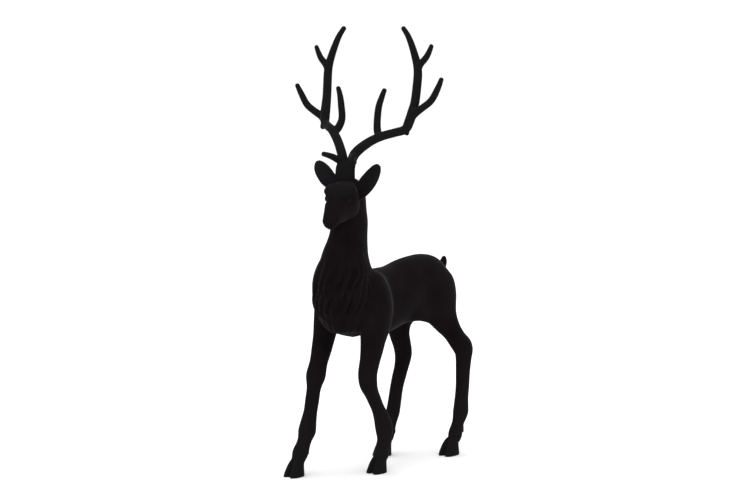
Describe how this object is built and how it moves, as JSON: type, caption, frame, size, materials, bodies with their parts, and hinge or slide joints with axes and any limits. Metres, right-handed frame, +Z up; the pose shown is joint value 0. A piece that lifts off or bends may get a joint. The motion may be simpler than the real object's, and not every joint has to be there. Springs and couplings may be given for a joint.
{
  "type": "stag statue",
  "caption": "Standing stag figure with tall branching antlers, head turned aside, one foreleg forward, that stands on its four hooves as a tabletop ornament",
  "frame": {"origin": "the middle of the bounding box in plan, at the height of the hoof soles", "axes": "+Z up, the stag's body faces -Y, its left side is +X"},
  "size_m": [0.1774, 0.2438, 0.4913],
  "materials": {
    "flock": "short black velvet flock over a hard moulded body, matt"
  },
  "bodies": {
    "root": {"stag": "flock"}
  },
  "joints": []
}
